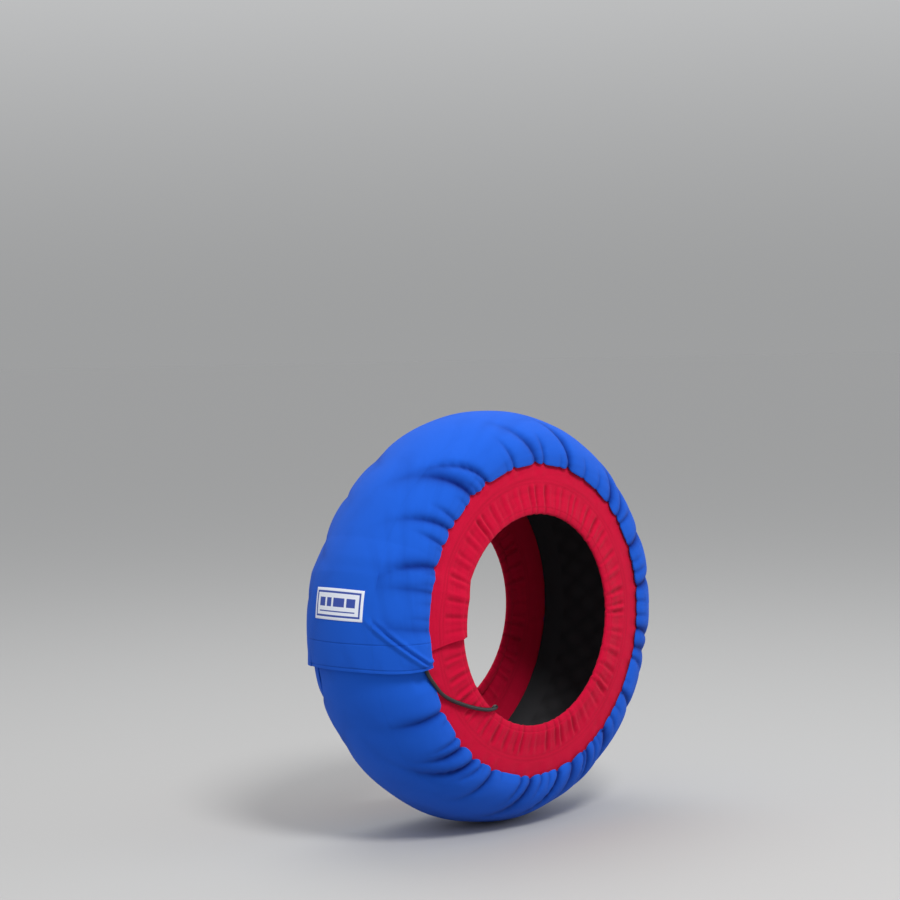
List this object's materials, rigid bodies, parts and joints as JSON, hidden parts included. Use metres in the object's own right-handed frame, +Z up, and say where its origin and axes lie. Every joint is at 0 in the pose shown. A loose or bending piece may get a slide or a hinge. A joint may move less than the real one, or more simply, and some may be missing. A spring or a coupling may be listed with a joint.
{
  "type": "motorcycle tyre warmer",
  "caption": "Padded electric warming cover that wraps round a motorcycle tyre, with gathered sides and elasticated side cuffs.",
  "frame": {"origin": "centre of the tyre and wheel that the cover is worn by, on the axle line in the middle of the width", "axes": "+Z up, Y along the axle with the side where the lead comes out facing -Y, the flap's end at -X"},
  "size_m": [0.6838, 0.3965, 0.6806],
  "materials": {
    "blue_canvas": "plain woven canvas, matt",
    "red_canvas": "plain woven canvas, matt",
    "lining_cloth": "smooth heat-resistant lining",
    "heater_cloth": "woven mat with heating wire",
    "wadding": "felted wadding",
    "elastic_webbing": "braided elastic",
    "closing_tape": "hook and loop pile",
    "label_cloth": "satin patch with a blue border",
    "black_plastic": "moulded",
    "black_rubber": "smooth cable sheath",
    "pin_brass": "plated contact pins"
  },
  "bodies": {
    "root": {"tread_panel": "blue_canvas", "near_side_panel": "blue_canvas", "far_side_panel": "blue_canvas", "inner_lining": "lining_cloth", "heater_mat": "heater_cloth", "insulation_layer": "wadding", "near_cuff": "red_canvas", "far_cuff": "red_canvas", "near_hem_casing": "red_canvas", "far_hem_casing": "red_canvas", "near_elastic": "elastic_webbing", "far_elastic": "elastic_webbing", "loop_tape": "closing_tape", "hook_tape": "closing_tape", "label_patch": "label_cloth", "heat_cutout": "black_plastic", "lead_boot": "black_rubber", "power_cord": "black_rubber", "cord_coil": "black_rubber", "cord_tie": "closing_tape", "plug_body": "black_plastic", "earth_pin": "pin_brass", "live_pin": "pin_brass", "neutral_pin": "pin_brass"}
  },
  "joints": []
}
